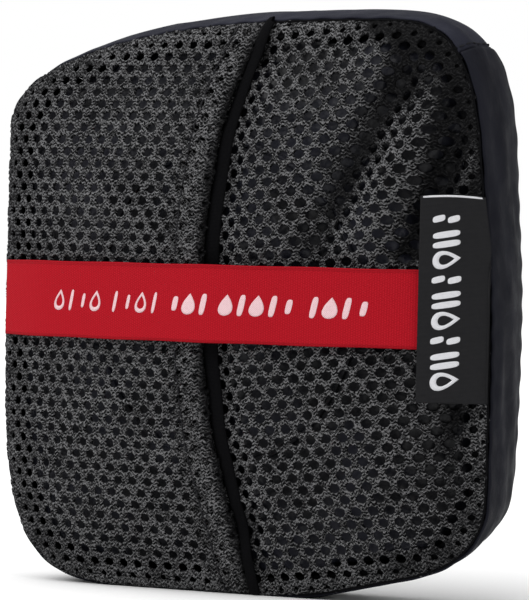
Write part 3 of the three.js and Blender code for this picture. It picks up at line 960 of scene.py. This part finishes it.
def band_piece():
    x = np.linspace(-70.5, 70.0, 240)
    z = np.linspace(-1, 1, 41)
    gx, gz = np.meshgrid(x, z, indexing="ij")
    edge = 0.12 * np.exp(-((np.abs(gz) - 0.93) / 0.03) ** 2)
    width = BAND_HALF * (1 - 0.012 * np.sin(gx / 9.0) ** 2)
    p = band_point(gx, BAND_Z + gz * width, edge)
    weave = np.stack([gx, gz * BAND_HALF], -1)
    return sheet_piece("elastic_band", p, 1.0, ELASTIC, weave, body=None)


def mark_outline(kind, bold):
    """A generic mark in a unit box: a leaning rain drop or a leaning dash. No letter is drawn."""
    t = np.linspace(0, 2 * np.pi, 28, endpoint=False)
    if kind == "drop":
        r = 0.42 if bold else 0.38
        x = r * np.sin(t) * np.sin(t / 2) ** 1.1 * 1.15
        z = 0.5 * np.cos(t)
        return np.stack([x + 0.17 * z, z], 1)
    half = 0.15 if bold else 0.09
    reach = {"dash": 0.5, "short": 0.34}[kind]
    x = half * np.sign(np.sin(t)) * np.abs(np.sin(t)) ** 0.6
    z = reach * np.sign(np.cos(t)) * np.abs(np.cos(t)) ** 0.6
    return np.stack([x + 0.22 * z, z], 1)


def patch_faces(rings, count):
    faces = []
    for r in range(rings - 1):
        for k in range(count):
            a, b = r * count + k, r * count + (k + 1) % count
            faces.append((a, a + count, b + count, b))
    return faces


def mark_mesh(outline, size, centre, place, ring=None):
    """A thin raised patch laid on a surface through place(x, z, height), or a ring, if ring
    gives its inner share."""
    count = len(outline)
    outer = outline * size
    mid = outer.mean(0)
    if ring is None:
        layers = [(outer, -0.25), (outer, 0.035)]
        layers += [(mid + (outer - mid) * k, 0.06) for k in (0.8, 0.4)]
        points = [place(centre[0] + o[:, 0], centre[1] + o[:, 1], np.full(count, h)) for o, h in layers]
        points.append(place(np.array([centre[0] + mid[0]]), np.array([centre[1] + mid[1]]), np.array([0.06])))
        faces = patch_faces(4, count)
        last = 3 * count
        faces += [(last + k, 4 * count, last + (k + 1) % count) for k in range(count)]
        faces.append(tuple(range(count)))
        flat = np.concatenate([o for o, _ in layers] + [mid[None]]) + centre
    else:
        inner = mid + (outer - mid) * ring
        layers = [(inner, -0.25), (outer, -0.25), (outer, 0.045), (inner, 0.045), (inner, -0.25)]
        points = [place(centre[0] + o[:, 0], centre[1] + o[:, 1], np.full(count, h)) for o, h in layers[:4]]
        faces = patch_faces(4, count)
        faces += [(3 * count + k, k, (k + 1) % count, 3 * count + (k + 1) % count) for k in range(count)]
        flat = np.concatenate([o for o, _ in layers[:4]]) + centre
    return np.concatenate(points), faces, flat


def marks_piece(name, marks, place, material):
    verts, faces, weave, start = [], [], [], 0
    for outline, size, centre, ring in marks:
        v, f, w = mark_mesh(outline, np.asarray(size), np.asarray(centre), place, ring)
        verts.append(v)
        weave.append(w)
        faces += [tuple(start + k for k in face) for face in f]
        start += len(v)
    return make(name, np.concatenate(verts), faces, material, np.concatenate(weave), None)


band = band_piece()
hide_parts("closure_band", "band_end_left", "band_end_right")

BAND_GROUPS = ((4, False), (4, False), (3, True), (5, True), (4, True))
MARK_STEP, MARK_SPACE = 4.17, 2.3
marks, at = [], -46.4
kinds = ("drop", "dash", "short", "drop", "dash")
for g, (count, bold) in enumerate(BAND_GROUPS):
    for k in range(count):
        kind = kinds[(k + g) % 5]
        ring = None if bold or kind != "drop" else 0.62
        marks.append((mark_outline(kind, bold), (5.4, 5.4), (at, BAND_Z - 0.2), ring))
        at += MARK_STEP
    at += MARK_SPACE
band_marks = marks_piece("band_marks", marks, band_point, BAND_INK)
for piece in (band, band_marks):
    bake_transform(piece)


# ---------------------------------------------------------------- woven label
LABEL_X, LABEL_Z, LABEL_HALF = (54.9, 71.0), 77.6, 25.8


def label_height(x, z):
    lift = 3.1 - 1.5 * smooth(x, 57, 71.5)
    return lift + 0.35 * np.sin((z - LABEL_Z) / 17) * (1 - smooth(x, 60, 70)) + 0.25 * np.cos(x / 4.0)


def label_point(x, z, height=0.0):
    sewn = (x - LABEL_X[0]) / (LABEL_X[1] - LABEL_X[0])
    x = x - 2.6 * np.exp(-((z - 110) / 17) ** 2) * smooth(sewn, 0.0, 1.3)
    slack = 0.012 * ((z - LABEL_Z) / 27) ** 2
    return over_front(x, z, label_height(x, z) + height, 0.988, 1.4, slack)


def label_piece():
    """One woven strip folded at its left edge: front layer, round fold, back layer."""
    layer, fold_r = 0.34, 0.46
    xs = np.linspace(LABEL_X[1], LABEL_X[0] + fold_r, 60)
    turn = np.linspace(0, np.pi, 11)[1:-1]
    path_x = np.concatenate([xs, LABEL_X[0] + fold_r - fold_r * np.sin(turn), xs[::-1]])
    path_h = np.concatenate([np.zeros(60), -fold_r + fold_r * np.cos(turn), np.full(60, -2 * fold_r)])
    z = LABEL_Z + np.linspace(-1, 1, 109) * LABEL_HALF
    gx, gz = np.meshgrid(path_x, z, indexing="ij")
    gh = np.broadcast_to(path_h[:, None], gx.shape)
    p = label_point(gx, gz, gh)
    run = np.concatenate([xs, LABEL_X[0] - turn, -xs[::-1] + 2 * LABEL_X[0]])
    weave = np.stack([np.broadcast_to(run[:, None], gx.shape), gz], -1)
    return sheet_piece("folded_label", p[::-1], layer, LABEL, weave[::-1], body=None)


label = label_piece()
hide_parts("label")
label_marks = []
MARKS_X = 61.2
for k in range(9):
    z = LABEL_Z - 20.2 + 5.05 * k
    kind = ("drop", "dash", "short")[k % 3]
    outline = mark_outline(kind, True)[:, ::-1]
    if kind == "drop":
        label_marks.append((outline, (6.4, 6.2), (MARKS_X, z), 0.55))
    elif kind == "dash":
        label_marks += [(outline, (6.4, 5.4), (MARKS_X, z + dz), None) for dz in (-1.2, 1.2)]
    else:
        label_marks += [(outline, (4.4, 5.4), (MARKS_X + dx, z), None) for dx in (-1.8, 1.8)]
label_print = marks_piece("label_marks", label_marks, label_point, LABEL_INK)
top_x = np.linspace(LABEL_X[0] + 0.6, LABEL_X[1] - 0.8, 60)
arch = 0.35 * np.sin(np.pi * np.linspace(0, 1, 60)) - 0.3
top_line = label_point(top_x, LABEL_Z + LABEL_HALF + arch, np.full(60, -0.3))
edge_line = tube_piece("label_cut_edge", top_line, np.tile([0.3, -1.0, 0.0], (60, 1)), (0.3, 0.4),
                       LABEL_INK, body=None, sides=8)
for piece in (label, label_print, edge_line):
    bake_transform(piece)

# ---------------------------------------------------------------- pieces grouped by slot name; the loop does nothing with them
(front_stitch, front_tape), (back_stitch, back_tape) = seams
for slot, pieces in {
    "mesh_fabric": (left_net, right_net, hem_net),
    "binding_tape": (binding_left, binding_right, front_tape, back_tape, allowance),
    "sewing_thread": (hem_left, hem_right, front_stitch, back_stitch, *joins),
    "gusset_nylon": (gusset_top, gusset_sides, back),
    "coated_nylon": (cover,), "hem_elastic": (hem_cord,), "red_elastic": (band,), "woven_label": (label,),
}.items():
    for piece in pieces:
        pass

# ---------------------------------------------------------------- stage, light and camera
floor_mesh = bpy.data.meshes.new("studio_floor")
floor_mesh.from_pydata([(-6, -6, 0), (6, -6, 0), (6, 6, 0), (-6, 6, 0)], [], [(0, 1, 2, 3)])
floor = bpy.data.objects.new("studio_floor", floor_mesh)
bpy.context.scene.collection.objects.link(floor)
floor_mesh.materials.append(floor_paint())


def soft_sun(name, where, spread, strength):
    """A wide far light, as even as a large studio softbox."""
    light = bpy.data.lights.new(name, "SUN")
    light.angle, light.energy = math.radians(spread), strength
    lamp = bpy.data.objects.new(name, light)
    bpy.context.scene.collection.objects.link(lamp)
    lamp.rotation_euler = (-Vector(where)).to_track_quat("-Z", "Y").to_euler()


def studio_world(lighting):
    """White where it is seen, and dimmer as a light, so that the lamps can shape the cloth."""
    world = bpy.data.worlds.new("studio")
    bpy.context.scene.world = world
    world.use_nodes = True
    tree = world.node_tree
    ray, strength = tree.nodes.new("ShaderNodeLightPath"), tree.nodes.new("ShaderNodeMapRange")
    strength.inputs["To Min"].default_value = lighting
    tree.links.new(ray.outputs["Is Camera Ray"], strength.inputs["Value"])
    tree.links.new(strength.outputs["Result"], tree.nodes["Background"].inputs["Strength"])
    tree.nodes["Background"].inputs["Color"].default_value = (1, 1, 1, 1)


studio_world(0.6)
soft_sun("key", (-0.5, -0.55, 1.3), 75, 2.6)
bpy.context.scene.view_settings.view_transform = "Standard"

# The view, turned by an assumed 28 degrees.
AZ, EL, ROLL, DIST = math.radians(28), math.radians(0.6), math.radians(1.45), 1.0
AIM = Vector((0, 0, 0.075))
SCALE, LONG_SIDE, SENSOR = 3.83, 600, 36
data = bpy.data.cameras.new("camera")
camera = bpy.data.objects.new("camera", data)
bpy.context.scene.collection.objects.link(camera)
bpy.context.scene.camera = camera
back_way = Vector((math.sin(AZ) * math.cos(EL), -math.cos(AZ) * math.cos(EL), math.sin(EL)))
camera.rotation_mode = "QUATERNION"
camera.location = AIM + back_way * DIST
turn = Matrix.Rotation(ROLL, 3, "Z").to_quaternion()
camera.rotation_quaternion = (-back_way).to_track_quat("-Z", "Y") @ turn
data.sensor_width = SENSOR
data.lens = SCALE * DIST * 1000 / LONG_SIDE * SENSOR
data.shift_x, data.shift_y = 2.4 / LONG_SIDE, 3.9 / LONG_SIDE
